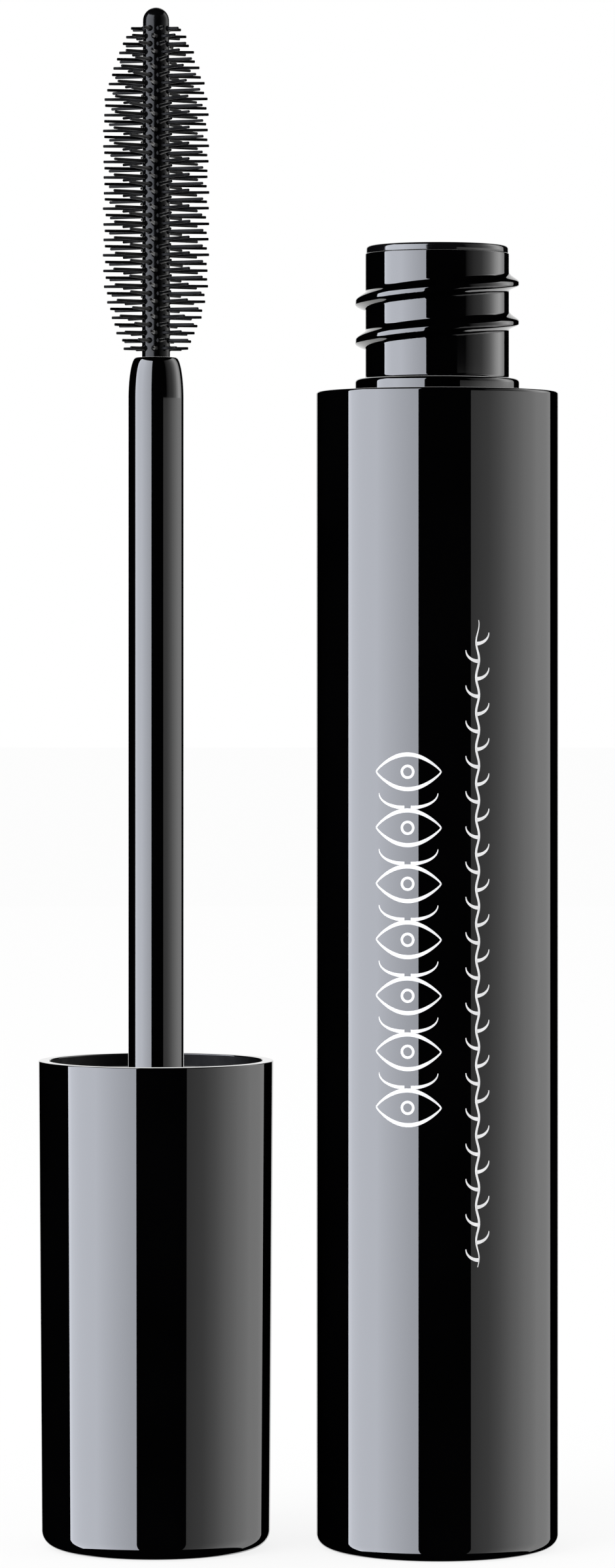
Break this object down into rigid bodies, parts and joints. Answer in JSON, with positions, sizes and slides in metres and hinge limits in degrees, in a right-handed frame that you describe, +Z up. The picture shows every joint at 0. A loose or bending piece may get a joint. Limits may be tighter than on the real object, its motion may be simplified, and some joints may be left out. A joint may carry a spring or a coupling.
{
  "type": "mascara tube",
  "caption": "Open mascara tube: a slim cylindrical bottle with a screw neck, and beside it the capped applicator with its rod and moulded bristle brush.",
  "frame": {"origin": "centre of the bottle's foot, on the surface that it stands on", "axes": "+Z up along the bottle's axis, +X from the applicator's axis towards the bottle's, the applicator standing on its cap at x = -22 mm"},
  "size_m": [0.0407, 0.019, 0.1204],
  "materials": {
    "bottle_sleeve": "high-gloss moulded black",
    "inner_vial": "gloss black polypropylene",
    "wiper": "soft black, slightly satin",
    "base_label": "blank dark film label, satin",
    "cap_shell": "high-gloss moulded black",
    "cap_liner": "satin black",
    "seal_washer": "pale soft foam ring",
    "stem": "gloss black rod",
    "brush_core": "satin black elastomer",
    "brush_bristles": "satin black elastomer"
  },
  "bodies": {
    "bottle": {"bottle_sleeve": "bottle_sleeve", "inner_vial": "inner_vial", "wiper": "wiper", "base_label": "base_label"},
    "washer": {"seal_washer": "seal_washer"},
    "applicator": {"cap_shell": "cap_shell", "cap_liner": "cap_liner", "stem": "stem", "brush_core": "brush_core", "brush_bristles": "brush_bristles"}
  },
  "joints": [
    {"name": "applicator_lift", "type": "slide", "parent": "bottle", "child": "washer", "axis": [0, 0, 1], "range_m": [0, 0.11]},
    {"name": "cap_turn", "type": "hinge", "parent": "washer", "child": "applicator", "pos_m": [-0.022, 0, 0.03], "axis": [0, 0, -1], "range_deg": [0, 630]}
  ]
}
